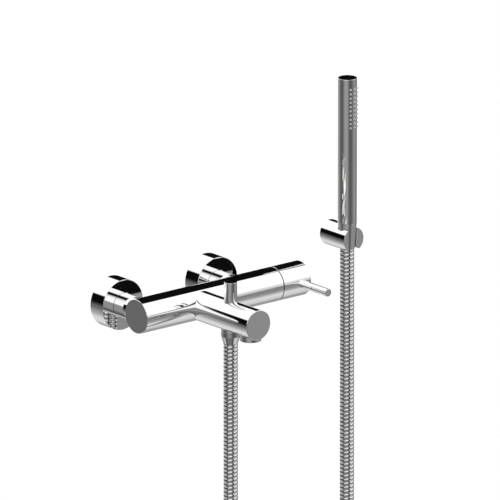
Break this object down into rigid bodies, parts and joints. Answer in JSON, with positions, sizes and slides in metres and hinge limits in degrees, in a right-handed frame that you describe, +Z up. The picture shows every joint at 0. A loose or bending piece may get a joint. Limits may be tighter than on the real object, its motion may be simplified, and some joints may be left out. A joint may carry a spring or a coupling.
{
  "type": "wall mounted bath faucet",
  "caption": "Cylindrical chrome wall mounted bath mixer with lever handle, spout, diverter knob, hose and stick hand shower in a wall holder.",
  "frame": {"origin": "on the finished wall, midway between the two inlets and level with the barrel's axis", "axes": "+Z up, +Y into the wall, so the mixer stands out towards -Y; +X to the right of a person facing the wall, along the barrel towards the handle and the hand shower"},
  "size_m": [0.3973, 0.2152, 0.9345],
  "materials": {
    "chrome": "polished chrome plate over brass",
    "brass": "machined",
    "steel": "turned stainless steel",
    "rubber": "black sealing rubber",
    "silicone": "grey silicone",
    "plastic": "moulded acetal",
    "grey_plastic": "moulded nylon",
    "ceramic": "lapped alumina ceramic"
  },
  "bodies": {
    "root": {"body_casting": "chrome", "left_end_cap": "chrome", "spout_end_cap": "chrome", "escutcheon_left": "chrome", "escutcheon_right": "chrome", "union_nut_left": "chrome", "union_nut_right": "chrome", "handle_dome": "chrome", "aerator_housing": "chrome", "hose_nut": "chrome", "shower_hose": "chrome", "holder_body": "chrome", "s_union_left": "brass", "s_union_right": "brass", "hot_water_tube": "brass", "cold_water_tube": "brass", "cartridge_nut": "brass", "diverter_insert": "brass", "diverter_bonnet": "brass", "hose_outlet_nipple": "brass", "hose_ferrule_faucet": "brass", "holder_bracket": "steel", "holder_screw": "steel", "holder_grub_screw": "steel", "union_gasket_left": "rubber", "union_gasket_right": "rubber", "cartridge_seal": "rubber", "aerator_seal": "rubber", "hose_washer_faucet": "rubber", "cartridge_body": "plastic", "check_valve_left": "grey_plastic", "check_valve_right": "grey_plastic", "aerator_insert": "grey_plastic", "ceramic_disc_fixed": "ceramic"},
    "temperature_carrier": {"cartridge_carrier": "plastic", "stem_pivot_pin": "steel"},
    "flow_disc": {"ceramic_disc_moving": "ceramic"},
    "handle": {"cartridge_stem": "steel", "handle_sleeve": "chrome", "handle_lever": "chrome", "handle_grub_screw": "steel"},
    "diverter": {"diverter_stem": "steel", "diverter_seal": "rubber", "diverter_knob": "chrome", "diverter_spring": "steel"},
    "hose_end": {"hose_ferrule_shower": "brass"},
    "hand_shower": {"hose_cone_nut": "chrome", "hose_washer_shower": "rubber", "hand_shower_inlet": "brass", "flow_limiter": "grey_plastic", "hand_shower_tube": "chrome", "hand_shower_liner": "plastic", "hand_shower_cap": "chrome", "nozzle_strip": "silicone"}
  },
  "joints": [
    {"name": "handle_turn", "type": "hinge", "parent": "root", "child": "temperature_carrier", "pos_m": [0.113, -0.0733, 0], "axis": [1, 0, 0], "range_deg": [-45, 45]},
    {"name": "handle_lift", "type": "hinge", "parent": "temperature_carrier", "child": "handle", "pos_m": [0.113, -0.0733, 0], "axis": [0, 0, 1], "range_deg": [0, 16]},
    {"name": "flow_disc_slide", "type": "slide", "parent": "temperature_carrier", "child": "flow_disc", "axis": [0, 1, 0], "range_m": [-0.003, 0]},
    {"name": "diverter_pull", "type": "slide", "parent": "root", "child": "diverter", "axis": [0, 0, 1], "range_m": [0, 0.009], "stiffness_N_per_m": 250, "springref_m": -0.004, "deforming": ["diverter_spring"]},
    {"name": "hand_shower_lift", "type": "slide", "parent": "root", "child": "hose_end", "axis": [0, 0, 1], "range_m": [0, 0.06]},
    {"name": "hand_shower_turn", "type": "hinge", "parent": "hose_end", "child": "hand_shower", "pos_m": [0.2747, -0.0336, 0.0215], "axis": [0, 0, 1], "continuous": true}
  ],
  "couplings": [
    {"joint": "flow_disc_slide", "follows": "handle_lift", "m_per_rad": -0.0095}
  ]
}
